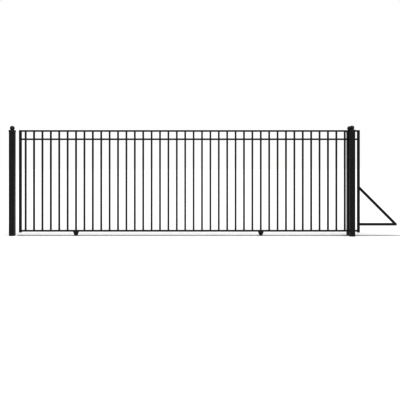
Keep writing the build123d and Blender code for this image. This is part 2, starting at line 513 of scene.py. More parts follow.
class CoatGrain(Effect):
    """The fine orange peel of a baked coat, with slow cloudy changes of tone."""

    name = "coat_grain"
    inputs = {"grain": 900.0, "cloud": 2.5}
    outputs = ("height", "tone")
    wave_pitch, wave_share = 0.12, 0.6
    speck_pitch, speck_share = 0.4, 0.35

    def wire(self, wiring: Wiring, given: Sockets) -> list[Socket]:
        """Wire the grain and the cloud.

        Args:
            wiring: the group's wiring.
            given: the fineness of the grain and of the cloud.

        Returns:
            The grain's height and the cloud's tone.
        """
        fine = wiring.noise(given["grain"], 2.0, 0.45)
        wave = wiring.noise(wiring.product(given["grain"], self.wave_pitch), 1.0)
        cloud = wiring.noise(given["cloud"], 4.0, 0.6)
        speck = wiring.noise(wiring.product(given["grain"], self.speck_pitch), 1.0)
        height = wiring.weigh(self.wave_share, wave, fine)
        return [height, wiring.weigh(self.speck_share, speck, cloud)]


class SettledDust(Effect):
    """Dust on upward faces and splashes near the ground."""

    name = "settled_dust"
    inputs = {"top": 0.5, "splash": 0.4, "reach": 0.25, "patch": 14.0}
    outputs = ("mask",)
    level = (0.5, 0.95)
    patches = (0.35, 0.75)
    grit_scale = 420.0
    grits = (0.42, 0.62)
    least_grit = 0.6

    def wire(self, wiring: Wiring, given: Sockets) -> list[Socket]:
        """Wire the mask from the face's slope, its height and a patchy noise.

        Args:
            wiring: the group's wiring.
            given: the dust on top, the splashes, their reach and the patches' fineness.

        Returns:
            The mask.
        """
        normal = wiring.add("NewGeometry").outputs["Normal"]
        slope = wiring.add("SeparateXYZ", {0: normal}).outputs["Z"]
        patch = wiring.step(wiring.noise(given["patch"], 5.0, 0.65), *self.patches)
        grit = wiring.step(wiring.noise(self.grit_scale, 2.0), *self.grits)
        upward = wiring.product(wiring.step(slope, *self.level), given["top"])
        share = wiring.maths("DIVIDE", wiring.along("Z"), given["reach"])
        low = wiring.maths("SUBTRACT", 1.0, share, clamp=True)
        splash = wiring.product(wiring.maths("POWER", low, 2.0), given["splash"])
        spread = wiring.product(wiring.maths("ADD", upward, splash), patch)
        grains = wiring.between(grit, self.least_grit, 1.0)
        return [wiring.maths("MULTIPLY", spread, grains, clamp=True)]


class FineScratches(Effect):
    """Short hairline scratches that run two ways."""

    name = "fine_scratches"
    inputs = {"scale": 60.0, "amount": 0.5}
    outputs = ("mask",)
    level = ((1.0, 22.0, 22.0), 0.5)
    upright = ((18.0, 18.0, 1.0), -0.35)
    hairline = 0.012
    patch_scale = 9.0
    patches = (0.5, 0.68)

    def wire(self, wiring: Wiring, given: Sockets) -> list[Socket]:
        """Wire two layers of stretched noise, broken up by a patchy one.

        Args:
            wiring: the group's wiring.
            given: the fineness and the amount of the scratches.

        Returns:
            The mask.
        """
        layers = []
        for stretch, turn in (self.level, self.upright):
            slant = {0: wiring.place(), "Rotation": (0.0, turn, 0.0), "Scale": stretch}
            where = wiring.add("Mapping", slant).outputs[0]
            hair = wiring.maths("SUBTRACT", wiring.noise(given["scale"], 2.0, where=where), 0.5)
            away = wiring.step(wiring.maths("ABSOLUTE", hair), 0.0, self.hairline)
            layers.append(wiring.maths("SUBTRACT", 1.0, away))
        broken = wiring.step(wiring.noise(self.patch_scale), *self.patches)
        return [wiring.product(wiring.maths("MAXIMUM", *layers), broken, given["amount"])]


class ZincCrystals(Effect):
    """The grey patchwork of crystals on zinc."""

    name = "zinc_crystals"
    inputs = {"scale": 160.0, "bloom": 5.0}
    outputs = ("tone", "edge")
    drift_scale, drift = 40.0, 12 * MM
    bloom_share = 0.55

    def wire(self, wiring: Wiring, given: Sockets) -> list[Socket]:
        """Wire the crystals' tones, and the white bloom that dulls them.

        Args:
            wiring: the group's wiring.
            given: the fineness of the crystals and of the bloom.

        Returns:
            The tone, and the distance from each crystal's middle.
        """
        where = wiring.place()
        wander = wiring.add("TexNoise", {"Vector": where, "Scale": self.drift_scale}).outputs[1]
        moved = {0: wander, 1: (self.drift, self.drift, self.drift), 2: where}
        bent = wiring.add("VectorMath", moved, operation="MULTIPLY_ADD").outputs[0]
        cells = wiring.add("TexVoronoi", {"Vector": bent, "Scale": given["scale"]}).outputs
        tint = wiring.add("SeparateColor", {0: cells["Color"]}).outputs[0]
        bloom = wiring.noise(given["bloom"], 5.0, 0.7)
        return [wiring.weigh(self.bloom_share, bloom, tint), cells["Distance"]]


class TurnedLines(Effect):
    """The concentric lines that a lathe leaves round an axle that lies across the gate."""

    name = "turned_lines"
    inputs = {"centre x": 0.0, "centre z": 0.0, "pitch": 0.6 * MM}
    outputs = ("height", "radius")
    uneven_scale = 2500.0
    line_share = 0.25

    def wire(self, wiring: Wiring, given: Sockets) -> list[Socket]:
        """Wire the distance from the axle, and the lines that follow it.

        Args:
            wiring: the group's wiring.
            given: the axle's place and the lines' pitch.

        Returns:
            The lines' height and the distance from the axle.
        """
        across = wiring.maths("SUBTRACT", wiring.along("X"), given["centre x"])
        above = wiring.maths("SUBTRACT", wiring.along("Z"), given["centre z"])
        square = wiring.maths("MULTIPLY_ADD", across, across, wiring.product(above, above))
        radius = wiring.maths("SQRT", square)
        walk = wiring.maths("ADD", radius, wiring.along("Y"))
        turns = wiring.maths("DIVIDE", walk, given["pitch"])
        wave = wiring.maths("SINE", wiring.product(turns, 2 * math.pi))
        pace = {"W": wiring.product(walk, self.uneven_scale)}
        uneven = wiring.add("TexNoise", pace, noise_dimensions="1D").outputs[0]
        return [wiring.maths("MULTIPLY_ADD", wave, self.line_share, uneven), radius]


# Finishes

ROAD_DUST = (0.105, 0.098, 0.088, 1.0)
SHEEN = 0.4


class Finish(ABC):
    """A finish, which makes its material once and hands it out."""

    name: str

    def material(self) -> bpy.types.Material:
        """Build the finish's material the first time, and find it after that.

        Returns:
            The material.
        """
        known = bpy.data.materials.get(self.name)
        if known:
            return known
        made = bpy.data.materials.new(self.name)
        made.use_nodes = True
        wiring = Wiring(made.node_tree)
        shader = wiring.add("BsdfPrincipled", self.wire(wiring))
        wiring.add("OutputMaterial", {"Surface": shader.outputs[0]})
        return made

    @abstractmethod
    def wire(self, wiring: Wiring) -> dict[str, object]:
        """Wire the finish's colour, roughness and relief.

        Args:
            wiring: the material's wiring.

        Returns:
            A value or a socket for each input of the shader that it sets.
        """


@dataclass(frozen=True)
class BlackCoat(Finish):
    """Baked black powder coat on steel or on a casting."""

    name: str = "black_powder_coat"
    dark: Colour = (0.016, 0.016, 0.0165, 1.0)
    light: Colour = (0.031, 0.031, 0.0315, 1.0)
    dust: Colour = ROAD_DUST
    grain: float = 900.0
    relief: float = 0.2
    peel: float = 0.2 * MM
    gloss: Pair = (0.34, 0.46)
    sheen_level: float = 0.35
    top_dust: float = 0.22
    splash: float = 0.2
    dulled: float = 0.35
    rubbed: tuple[float, float, float] | None = None
    rubbed_edge: float = MM
    rubbed_face: Pair = (0.6 * MM, 0.2 * MM)
    polished: float = -0.16

    def wire(self, wiring: Wiring) -> dict[str, object]:
        """Wire the coat, its dust and, on a guided rail, the band that the guides rub.

        Args:
            wiring: the material's wiring.

        Returns:
            The shader's inputs.
        """
        grain = CoatGrain().on(wiring, grain=self.grain)
        dust = SettledDust().on(wiring, top=self.top_dust, splash=self.splash)["mask"]
        hairs = FineScratches().on(wiring, scale=35.0, amount=0.25)["mask"]
        colour = wiring.blend(grain["tone"], self.dark, self.light)
        colour = wiring.blend(hairs, colour, self.dust)
        rough = wiring.between(grain["tone"], *self.gloss)
        if self.rubbed:
            low, high, side = self.rubbed
            edge = self.rubbed_edge
            run = wiring.band(
                wiring.along("Z"), (low - edge, low + edge), (high - edge, high + edge)
            )
            away = wiring.maths("ABSOLUTE", wiring.along("Y"))
            faced = wiring.step(away, *(side - short for short in self.rubbed_face))
            rough = wiring.maths("MULTIPLY_ADD", wiring.product(run, faced), self.polished, rough)
        return {
            "Base Color": wiring.blend(dust, colour, self.dust),
            "Roughness": wiring.maths("MULTIPLY_ADD", dust, self.dulled, rough, clamp=True),
            "Specular IOR Level": self.sheen_level,
            "Normal": wiring.relief(grain["height"], self.relief, self.peel),
        }


@dataclass(frozen=True)
class MouldedPlastic(Finish):
    """Moulded plastic with a fine spark-eroded grain."""

    name: str
    dark: Colour
    light: Colour
    gloss: Pair = (0.45, 0.6)
    grain: float = 1500.0
    peel: float = 0.1 * MM
    relief: float = 0.2
    top_dust: float = 0.25
    dust: Colour = (0.2, 0.19, 0.17, 1.0)
    scuffed: float = 0.2

    def wire(self, wiring: Wiring) -> dict[str, object]:
        """Wire the plastic's tone, grain and dust.

        Args:
            wiring: the material's wiring.

        Returns:
            The shader's inputs.
        """
        grain = CoatGrain().on(wiring, grain=self.grain, cloud=30.0)
        dust = SettledDust().on(wiring, top=self.top_dust, splash=0.15)["mask"]
        hairs = FineScratches().on(wiring, scale=90.0, amount=0.3)["mask"]
        colour = wiring.blend(grain["tone"], self.dark, self.light)
        rough = wiring.between(grain["tone"], *self.gloss)
        return {
            "Base Color": wiring.blend(dust, colour, self.dust),
            "Roughness": wiring.maths("MULTIPLY_ADD", hairs, self.scuffed, rough, clamp=True),
            "Specular IOR Level": SHEEN,
            "Normal": wiring.relief(grain["height"], self.relief, self.peel),
        }


@dataclass(frozen=True)
class Galvanised(Finish):
    """Hot-dip zinc on the track, with the bright lines that the wheels run on."""

    name: str = "hot_dip_zinc"
    dark: Colour = (0.15, 0.152, 0.155, 1.0)
    light: Colour = (0.30, 0.303, 0.308, 1.0)
    bright: Colour = (0.42, 0.42, 0.43, 1.0)
    dust: Colour = (0.24, 0.22, 0.19, 1.0)
    run_rise: Pair = (5.5 * MM, 6.3 * MM)
    run_fall: Pair = (12.4 * MM, 12.7 * MM)
    worn: Pair = (0.2, 0.5)
    gloss: Pair = (0.42, 0.62)
    metal: Pair = (0.72, 0.0)
    polished: float = -0.18
    dulled: float = 0.3
    relief: float = 0.12
    depth: float = 0.3 * MM

    def wire(self, wiring: Wiring) -> dict[str, object]:
        """Wire the crystals, the run lines, the scratches and the dust.

        Args:
            wiring: the material's wiring.

        Returns:
            The shader's inputs.
        """
        zinc = ZincCrystals().on(wiring, scale=150.0)
        dust = SettledDust().on(wiring, top=0.35, splash=0.15, reach=0.05, patch=22.0)["mask"]
        hairs = FineScratches().on(wiring, scale=80.0, amount=0.6)["mask"]
        line = wiring.band(wiring.along("Z"), self.run_rise, self.run_fall)
        run = wiring.product(line, wiring.step(wiring.noise(60.0), *self.worn))
        colour = wiring.blend(zinc["tone"], self.dark, self.light)
        colour = wiring.blend(wiring.maths("MAXIMUM", run, hairs), colour, self.bright)
        rough = wiring.between(zinc["tone"], *self.gloss)
        rough = wiring.maths("MULTIPLY_ADD", run, self.polished, rough)
        return {
            "Base Color": wiring.blend(dust, colour, self.dust),
            "Metallic": wiring.between(dust, *self.metal),
            "Roughness": wiring.maths("MULTIPLY_ADD", dust, self.dulled, rough, clamp=True),
            "Normal": wiring.relief(zinc["edge"], self.relief, self.depth),
        }


@dataclass(frozen=True)
class PlatedSteel(Finish):
    """Bright zinc plate on anchors, screws and sleeves."""

    name: str = "bright_zinc_plate"
    dark: Colour = (0.34, 0.34, 0.345, 1.0)
    light: Colour = (0.55, 0.55, 0.56, 1.0)
    dust: Colour = (0.2, 0.18, 0.16, 1.0)
    gloss: Pair = (0.26, 0.42)
    metal: Pair = (0.95, 0.2)
    scuffed: float = 0.25

    def wire(self, wiring: Wiring) -> dict[str, object]:
        """Wire the plate's patches, scratches and dust.

        Args:
            wiring: the material's wiring.

        Returns:
            The shader's inputs.
        """
        tone = ZincCrystals().on(wiring, scale=900.0, bloom=60.0)["tone"]
        dust = SettledDust().on(wiring, top=0.3, splash=0.12, reach=0.12)["mask"]
        hairs = FineScratches().on(wiring, scale=150.0, amount=0.5)["mask"]
        colour = wiring.blend(tone, self.dark, self.light)
        rough = wiring.between(tone, *self.gloss)
        return {
            "Base Color": wiring.blend(dust, colour, self.dust),
            "Metallic": wiring.between(dust, *self.metal),
            "Roughness": wiring.maths("MULTIPLY_ADD", hairs, self.scuffed, rough),
        }


@dataclass(frozen=True)
class BlackOxide(Finish):
    """Oiled black oxide on bolts, nuts and spring rings, rubbed to grey at its hairlines."""

    name: str = "oiled_black_oxide"
    dark: Colour = (0.008, 0.008, 0.0085, 1.0)
    light: Colour = (0.02, 0.0195, 0.019, 1.0)
    bare: Colour = (0.16, 0.16, 0.16, 1.0)
    gloss: Pair = (0.3, 0.48)
    metal: Pair = (0.15, 0.8)

    def wire(self, wiring: Wiring) -> dict[str, object]:
        """Wire the oxide's patches, scratches and dust.

        Args:
            wiring: the material's wiring.

        Returns:
            The shader's inputs.
        """
        tone = ZincCrystals().on(wiring, scale=1100.0, bloom=90.0)["tone"]
        dust = SettledDust().on(wiring, top=0.2, splash=0.1, reach=0.12)["mask"]
        hairs = FineScratches().on(wiring, scale=150.0, amount=0.4)["mask"]
        colour = wiring.blend(hairs, wiring.blend(tone, self.dark, self.light), self.bare)
        return {
            "Base Color": wiring.blend(dust, colour, ROAD_DUST),
            "Metallic": wiring.between(hairs, *self.metal),
            "Roughness": wiring.between(tone, *self.gloss),
            "Specular IOR Level": SHEEN,
        }


@dataclass(frozen=True)
class TurnedSteel(Finish):
    """Steel that was turned or ground about an axle that lies across the gate."""

    name: str
    axle: Vector
    band: Pair
    pitch: float = 0.7 * MM
    relief: float = 0.25
    depth: float = 0.05 * MM

    def lathe(self, wiring: Wiring) -> tuple[Socket, Socket]:
        """Wire the marks of the lathe.

        Args:
            wiring: the material's wiring.

        Returns:
            The distance from the axle, and the normals that the marks give.
        """
        x, _, z = self.axle
        marks = TurnedLines().on(wiring, centre_x=x, centre_z=z, pitch=self.pitch)
        return marks["radius"], wiring.relief(marks["height"], self.relief, self.depth)


@dataclass(frozen=True)
class OxideWheel(TurnedSteel):
    """Black oxide on a turned wheel, worn to bare steel where its groove runs on the track."""

    rim: float = 9 * MM
    rim_edge: float = 0.3 * MM
    groove_edge: float = 0.6 * MM
    dark: Colour = (0.009, 0.009, 0.0095, 1.0)
    light: Colour = (0.022, 0.022, 0.022, 1.0)
    bare: Colour = (0.3, 0.3, 0.305, 1.0)
    worn: Pair = (0.3, 0.55)
    least_wear: float = 0.55
    hair_share: float = 0.6
    gloss: Pair = (0.3, 0.46)
    metal: Pair = (0.1, 0.95)

    def wire(self, wiring: Wiring) -> dict[str, object]:
        """Wire the turning marks, the worn groove and the scratches.

        Args:
            wiring: the material's wiring.

        Returns:
            The shader's inputs.
        """
        radius, normal = self.lathe(wiring)
        tone = ZincCrystals().on(wiring, scale=700.0, bloom=45.0)["tone"]
        hairs = FineScratches().on(wiring, scale=120.0, amount=0.4)["mask"]
        low, high = self.band
        edge = self.groove_edge
        groove = wiring.band(radius, (low, low + edge), (high - edge, high))
        across = wiring.maths("ABSOLUTE", wiring.along("Y"))
        inside = wiring.step(across, self.rim, self.rim - self.rim_edge)
        wear = wiring.between(wiring.step(wiring.noise(130.0), *self.worn), self.least_wear, 1.0)
        worn = wiring.product(groove, inside, wear)
        worn = wiring.maths("MAXIMUM", worn, wiring.product(hairs, self.hair_share))
        return {
            "Base Color": wiring.blend(worn, wiring.blend(tone, self.dark, self.light), self.bare),
            "Metallic": wiring.between(worn, *self.metal),
            "Roughness": wiring.between(tone, *self.gloss),
            "Specular IOR Level": SHEEN,
            "Normal": normal,
        }


@dataclass(frozen=True)
class SealedBearing(TurnedSteel):
    """A ground steel bearing ring about an axle, with dark rubber seals."""

    seal_edge: float = 0.2 * MM
    dark: Colour = (0.27, 0.27, 0.275, 1.0)
    light: Colour = (0.45, 0.45, 0.46, 1.0)
    bright: Colour = (0.6, 0.6, 0.6, 1.0)
    rubber: Colour = (0.012, 0.012, 0.013, 1.0)
    gloss: Pair = (0.28, 0.45)
    metal: Pair = (0.95, 0.0)
    dulled: float = 0.25

    def wire(self, wiring: Wiring) -> dict[str, object]:
        """Wire the grinding marks and the seals.

        Args:
            wiring: the material's wiring.

        Returns:
            The shader's inputs.
        """
        radius, normal = self.lathe(wiring)
        tone = ZincCrystals().on(wiring, scale=700.0, bloom=45.0)["tone"]
        hairs = FineScratches().on(wiring, scale=120.0, amount=0.5)["mask"]
        low, high = self.band
        seal = wiring.band(radius, (low - self.seal_edge, low), (high, high + self.seal_edge))
        colour = wiring.blend(hairs, wiring.blend(tone, self.dark, self.light), self.bright)
        rough = wiring.between(tone, *self.gloss)
        return {
            "Base Color": wiring.blend(seal, colour, self.rubber),
            "Metallic": wiring.between(seal, *self.metal),
            "Roughness": wiring.maths("MULTIPLY_ADD", seal, self.dulled, rough),
            "Normal": normal,
        }


@dataclass(frozen=True)
class PaleFloor(Finish):
    """A plain pale floor with a little light of its own."""

    name: str = "studio_floor"
    dark: Colour = (0.34, 0.34, 0.34, 1.0)
    light: Colour = (0.36, 0.36, 0.36, 1.0)
    glow: float = 0.5

    def wire(self, wiring: Wiring) -> dict[str, object]:
        """Wire the floor's faint cloud and its glow.

        Args:
            wiring: the material's wiring.

        Returns:
            The shader's inputs.
        """
        return {
            "Base Color": wiring.blend(wiring.noise(1.5), self.dark, self.light),
            "Roughness": 0.9,
            "Specular IOR Level": 0.1,
            "Emission Color": (1.0, 1.0, 1.0, 1.0),
            "Emission Strength": self.glow,
        }


COAT = BlackCoat()
WELD_COAT = BlackCoat("coated_weld", grain=500.0, relief=0.05, gloss=(0.24, 0.34))
CAST_COAT = BlackCoat(
    "coated_casting", grain=520.0, relief=0.16, gloss=(0.22, 0.32), sheen_level=0.5, top_dust=0.1
)
PLUG_PLASTIC = MouldedPlastic(
    "moulded_black_plastic", dark=(0.01, 0.01, 0.01, 1.0), light=(0.02, 0.02, 0.021, 1.0)
)
NYLON = MouldedPlastic(
    "natural_nylon",
    dark=(0.62, 0.6, 0.54, 1.0),
    light=(0.76, 0.75, 0.7, 1.0),
    gloss=(0.38, 0.5),
    grain=1100.0,
)
TRACK_ZINC = Galvanised()
FIXING_ZINC = PlatedSteel()
FIXING_BLACK = BlackOxide()


def dress(piece: Piece, finish: Finish) -> None:
    """Give a piece its finish, in its first material slot.

    Args:
        piece: the piece to dress.
        finish: its finish.
    """
    if piece.material_slots:
        piece.material_slots[0].material = finish.material()
    else:
        piece.data.materials.append(finish.material())


# Sub-assemblies


@dataclass(frozen=True)
class Bead:
    """A weld bead, a rippled bar that lies half sunk in the corner that it fills."""

    radius: float = 3.0 * MM
    ripple: float = 3.2 * MM
    sides: int = 8
    tip: float = 0.5
    waist: float = 0.86

    def lay(self, start: Vector, end: Vector) -> Piece:
        """Make a bead, wider at each ripple and narrow at its tips.

        Args:
            start: one end of its middle line.
            end: the other end.

        Returns:
            The bead.
        """
        run = end - start
        halves = 2 * max(2, round(run.length / self.ripple))
        widths = [self.waist if i % 2 else 1.0 for i in range(halves - 1)] + [self.tip]
        reach = run.length / halves
        steps = [(reach, new / old) for old, new in zip([self.tip] + widths, widths)]
        turn = run.to_track_quat("Z", "Y").to_euler()
        foot = self.radius * self.tip
        return turned("bead", start, turn, run.normalized(), foot, self.sides, steps)


class SubAssembly(ABC):
    """Some pieces of the gate that are made and dressed together."""

    body: str

    @abstractmethod
    def build(self) -> None:
        """Make the pieces, dress them and set them on their bodies."""

    def hand_over(
        self,
        name: str,
        parts: list[Piece],
        shading: float,
        finish: Finish,
        slot: str,
        body: str = "",
        replaces: tuple[str, ...] = (),
    ) -> None:
        """Join a finished piece, dress it and set it on its body.

        Args:
            name: the piece's name.
            parts: the parts that it is joined from.
            shading: the angle in degrees below which its faces are shaded as one.
            finish: its finish.
            slot: the record's material slot that the finish belongs to; it is not used.
            body: the body that it moves with, where it isn't the sub-assembly's own.
            replaces: the CAD nodes that it stands for.
        """
        piece = join(name, parts)
        pick(piece)
        bpy.ops.object.shade_smooth_by_angle(angle=math.radians(shading))
        dress(piece, finish)
        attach(piece, body or self.body)
        if replaces:
            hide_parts(*replaces)
        triangles = sum(len(face.vertices) - 2 for face in piece.data.polygons)
        log.info("%s on %s: %d triangles", piece.name, body or self.body, triangles)


@dataclass
class PostCaps(SubAssembly):
    """The three cast caps: a lipped skirt, a low pyramid, a coved neck and a ball."""

    body: str = "posts_and_track"
    posts: tuple[str, ...] = ("latch_post", "front_guide_post", "rear_guide_post")
    size: float = 102 * MM
    cavity: float = 91 * MM
    corner: float = 7 * MM
    corner_steps: int = 6
    skirt: float = 24 * MM
    lip: float = 5 * MM
    lip_depth: float = 2 * MM
    roof: float = 4 * MM
    rise: float = 6 * MM
    soft: float = 0.9 * MM
    soft_angle: float = 25.0
    pyramid_top: float = 66 * MM
    neck: float = 28 * MM
    neck_height: float = 6 * MM
    neck_tuck: float = MM
    cove_steps: int = 6
    ball: float = 40 * MM
    ball_steps: int = 22
    segments: int = 48

    def build(self) -> None:
        """Make one cap on the latch post and copy it to the guide posts."""
        places = []
        for post in self.posts:
            low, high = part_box(post)
            places.append(Vector(((low.x + high.x) / 2, (low.y + high.y) / 2, high.z)))
        first = join("cap", [self.skirt_part(places[0]), self.ball_part(places[0])])
        caps = [first] + [copy_to(first, place - places[0]) for place in places[1:]]
        node = "post_caps"
        self.hand_over("ball_caps", caps, CAST, CAST_COAT, "black_casting", replaces=(node,))

    def skirt_part(self, seat: Vector) -> Piece:
        """Make the skirt and the pyramid, hollow from below.

        Args:
            seat: the middle of the post's head.

        Returns:
            The part.
        """
        foot = seat.z - self.skirt
        clear_bench()
        bpy.ops.mesh.primitive_plane_add(size=self.size, location=(seat.x, seat.y, foot))
        part = take_up("skirt")
        inset = 1 - 2 * self.lip_depth / self.size
        pyramid = self.pyramid_top / self.size
        with editing(part):
            bpy.ops.mesh.bevel(offset=self.corner, segments=self.corner_steps, affect="VERTICES")
            for reach, share in (
                (self.lip, 1.0),
                (0.0, inset),
                (self.roof + self.skirt - 2 * self.lip, 1.0),
                (0.0, 1 / inset),
                (self.lip, 1.0),
                (self.rise, pyramid),
            ):
                push(part, UP * reach, (share, share, 1.0))
            select(part, Part.FACES, lambda p: abs(p.z - foot) < HAIR)
            bpy.ops.mesh.inset(thickness=(self.size - self.cavity) / 2)
            push(part, UP * self.skirt)
            turn_outwards()
        soften(part, self.soft, self.soft_angle)
        return part

    def ball_part(self, seat: Vector) -> Piece:
        """Turn the neck and the ball from one profile.

        Args:
            seat: the middle of the post's head.

        Returns:
            The part.
        """
        crown = seat.z + self.roof + self.rise
        neck_top = crown + self.neck_height
        middle = neck_top + math.sqrt(self.ball**2 - self.neck**2)
        widest = self.pyramid_top / 2 - self.neck_tuck
        profile = [(0.0, crown - self.neck_tuck), (widest, crown - self.neck_tuck)]
        for i in range(self.cove_steps + 1):
            turn = math.pi / 2 * i / self.cove_steps
            out = self.neck + self.neck_height * (1 - math.sin(turn))
            profile.append((min(out, widest), neck_top - self.neck_height * math.cos(turn)))
        start = -math.acos(self.neck / self.ball)
        for i in range(1, self.ball_steps + 1):
            turn = start + (math.pi / 2 - start) * i / self.ball_steps
            profile.append((self.ball * math.cos(turn), middle + self.ball * math.sin(turn)))
        clear_bench()
        bpy.ops.mesh.primitive_plane_add(size=MM, location=(seat.x, seat.y, profile[0][1]))
        part = take_up("ball")
        with editing(part):
            bpy.ops.mesh.select_mode(type="VERT")
            bpy.ops.mesh.merge(type="CENTER")
            for (r0, z0), (r1, z1) in zip(profile, profile[1:]):
                by = Vector((r1 - r0, 0, z1 - z0))
                bpy.ops.mesh.extrude_region_move(TRANSFORM_OT_translate={"value": by})
            bpy.ops.mesh.select_all(action="SELECT")
            axle = (seat.x, seat.y, 0)
            bpy.ops.mesh.spin(steps=self.segments, angle=2 * math.pi, center=axle, axis=UP)
        close_up(part)
        return part


@dataclass
class PicketRows(SubAssembly):
    """The pickets in their two bays, with rolled corners, and the welds at their ends."""

    body: str = "leaf"
    count: int = 40
    tube: float = 25 * MM
    corner: float = 3 * MM
    corner_steps: int = 4
    side_bead: Bead = Bead(2.6 * MM, 7.5 * MM, 6)
    side_short: float = 1.5 * MM
    seam_bead: Bead = Bead(1.9 * MM, 7.0 * MM, 6)
    seam_sunk: float = 1.1 * MM
    seam_over: float = 0.7 * MM

    def build(self) -> None:
        """Make one picket for each bay and repeat it, then weld the first and repeat that."""
        low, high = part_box("bottom_rail")
        pitch = (high.x - low.x) / self.count
        first = low.x + pitch / 2
        step = Vector((pitch, 0, 0))
        half = self.tube / 2
        for node in ("long_pickets", "short_pickets"):
            foot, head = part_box(node)
            near = Vector((first - half, -half, foot.z))
            row = block("picket", near, Vector((first + half, half, head.z)))
            middle = (foot.z + head.z) / 2
            with editing(row):
                select(row, Part.EDGES, lambda p: abs(p.z - middle) < HAIR)
                bpy.ops.mesh.bevel(offset=self.corner, segments=self.corner_steps, affect="EDGES")
            repeat(row, self.count, step)
            self.hand_over(node + "_rolled", [row], ROLLED, COAT, "black_coat", replaces=(node,))
        welds = join("picket_welds", self.welds(first))
        repeat(welds, self.count, step)
        self.hand_over("picket_welds", [welds], RIPPLED, WELD_COAT, "black_coat")

    def welds(self, first: float) -> list[Piece]:
        """Weld the first picket in each bay.

        The middle rail's faces are left flush, because they run between the guides.

        Args:
            first: the first picket's place along the gate.

        Returns:
            The beads.
        """
        half = self.tube / 2
        across = Vector((0, half - self.side_short, 0))
        along = Vector((half - self.corner, 0, 0))
        beads = []
        for node, seam in (("long_pickets", -1), ("short_pickets", 1)):
            foot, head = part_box(node)
            for height in (foot.z, head.z):
                for side in (-half, half):
                    corner = Vector((first + side, 0, height))
                    beads.append(self.side_bead.lay(corner - across, corner + across))
            outer = foot.z if seam < 0 else head.z
            for side in (-1, 1):
                depth = side * (half - self.seam_sunk)
                notch = Vector((first, depth, outer + seam * self.seam_over))
                beads.append(self.seam_bead.lay(notch - along, notch + along))
        return beads


@dataclass
class FrameWelds(SubAssembly):
    """The welds of the leaf's frame, its tail and its wheel cheeks."""

    body: str = "leaf"
    bead: Bead = Bead()
    rail_short: float = 2 * MM
    mitre_bead: Bead = Bead(2.2 * MM)
    mitre_short: float = 4 * MM
    mitre_sunk: float = 1.2 * MM
    tail_short: float = 3 * MM
    cheek_bead: Bead = Bead(3.4 * MM)
    cheek_short: float = 4 * MM
    cheek_drop: float = 15 * MM

    def build(self) -> None:
        """Weld the rails, the tail and the cheeks."""
        for name, beads in (
            ("rail_welds", self.rail_welds()),
            ("tail_welds", self.tail_welds()),
            ("cheek_welds", self.cheek_welds()),
        ):
            self.hand_over(name, beads, RIPPLED, WELD_COAT, "black_coat")

    def rail_welds(self) -> list[Piece]:
        """Weld round each rail's ends, but leave the leaf's top flush.

        Returns:
            The beads.
        """
        short = self.rail_short
        beads = []
        for node in ("top_rail", "middle_rail", "bottom_rail"):
            low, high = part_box(node)
            for x in (low.x, high.x):
                for y in (low.y, high.y):
                    start = Vector((x, y, low.z + short))
                    beads.append(self.bead.lay(start, Vector((x, y, high.z - short))))
                for z in (low.z,) if node == "top_rail" else (low.z, high.z):
                    start = Vector((x, low.y + short, z))
                    beads.append(self.bead.lay(start, Vector((x, high.y - short, z))))
        return beads

    def tail_welds(self) -> list[Piece]:
        """Weld the tail bar and the brace's two mitres.

        Returns:
            The beads.
        """
        bar_low, bar_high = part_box("tail_bar")
        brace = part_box("tail_brace")[1]
        mitre = 2 * (bar_high.y - bar_low.y) / math.sqrt(2)
        face, top, short = bar_low.x, bar_high.z, self.mitre_short
        across = Vector((0, bar_high.y - self.tail_short, 0))
        beads = []
        for x, z in (
            (face, bar_low.z),
            (face, top),
            (face, brace.z),
            (face, brace.z - mitre),
            (brace.x, top),
            (brace.x - mitre, top),
        ):
            edge = Vector((x, 0, z))
            beads.append(self.bead.lay(edge - across, edge + across))
        for y in (bar_low.y + self.mitre_sunk, bar_high.y - self.mitre_sunk):
            for (x0, z0), (x1, z1) in (
                ((face, bar_low.z + short), (face, top - short)),
                ((face, brace.z - mitre + short), (face, brace.z - short)),
                ((brace.x - mitre + short, top), (brace.x - short, top)),
            ):
                beads.append(self.mitre_bead.lay(Vector((x0, y, z0)), Vector((x1, y, z1))))
        return beads

    def cheek_welds(self) -> list[Piece]:
        """Weld along the top and the ends of each wheel cheek.

        Returns:
            The beads.
        """
        rail_low, rail_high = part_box("bottom_rail")
        cheek_low, cheek_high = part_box("wheel_cheeks")
        half = centre("left_wheel").x - cheek_low.x
        inset = Vector((self.cheek_short, 0, 0))
        beads = []
        for wheel in ("left_wheel", "right_wheel"):
            middle = centre(wheel).x
            for y in (rail_low.y, rail_high.y):
                left = Vector((middle - half, y, cheek_high.z))
                right = Vector((middle + half, y, cheek_high.z))
                beads.append(self.cheek_bead.lay(left + inset, right - inset))
                for end in (left, right):
                    beads.append(self.bead.lay(end - UP * self.cheek_drop, end))
        return beads


@dataclass(frozen=True)
class Hexagon:
    """A hexagon head or nut that is cut to a chamfered round."""

    flats: float
    height: float
    chamfer: float = 1.1 * MM
    slope: float = 0.55
    clear: float = 1.002
    round_sides: int = 48

    def head(self, seat: Vector, facing: Facing) -> Piece:
        """Make a hexagon on a seat, chamfered on its outer side.

        Args:
            seat: the middle of the face that it sits on.
            facing: the side that it faces.

        Returns:
            The head.
        """
        radius = self.flats / math.sqrt(3)
        drop = self.chamfer * self.slope
        head = turned("head", seat, *facing.value, radius, 6, [(self.height, 1.0)])
        steps = [(self.height + MM - drop, 1.0), (drop, 1 - self.chamfer / radius)]
        below = seat - facing.outward * MM
        width = radius * self.clear
        tool = turned("round", below, *facing.value, width, self.round_sides, steps)
        carve(head, tool, Cut.INSIDE)
        return head


